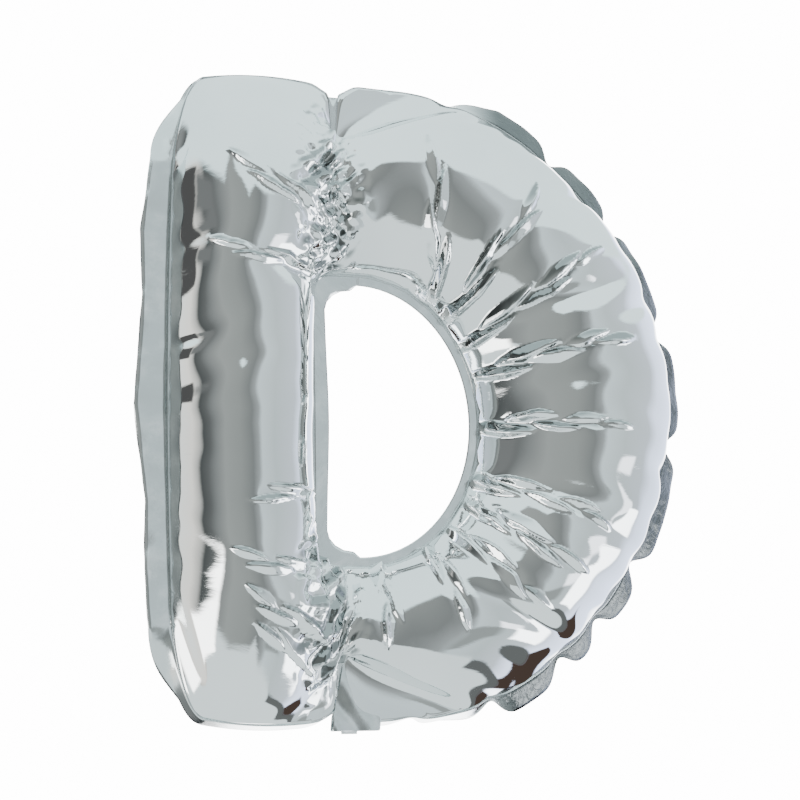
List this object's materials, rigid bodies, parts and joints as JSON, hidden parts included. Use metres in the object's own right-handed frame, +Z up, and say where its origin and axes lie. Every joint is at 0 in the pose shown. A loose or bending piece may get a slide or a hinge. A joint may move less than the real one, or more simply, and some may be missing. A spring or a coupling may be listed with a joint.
{
  "type": "letter foil balloon",
  "caption": "Inflated mirror-silver foil balloon shaped as a block letter D, with welded seams, a puckered bowl, a straight stem and a short filling tail.",
  "frame": {"origin": "centre of the letter, on the plane of its seams, halfway between its welded sides and between its top and bottom", "axes": "+Z up the letter, +X towards its round bowl as read from the front, -Y out of the front of the letter"},
  "size_m": [0.319, 0.0886, 0.369],
  "materials": {
    "silver_foil": "mirror-bright metallised film",
    "seam_foil": "bright crinkled weld margin",
    "tail_foil": "bright crinkled film",
    "sleeve_film": "thin milky film"
  },
  "bodies": {
    "root": {"front_film": "silver_foil", "back_film": "silver_foil", "outer_seam": "seam_foil", "hole_seam": "seam_foil", "tail_front": "tail_foil", "tail_back": "tail_foil", "valve_sleeve": "sleeve_film"}
  },
  "joints": []
}
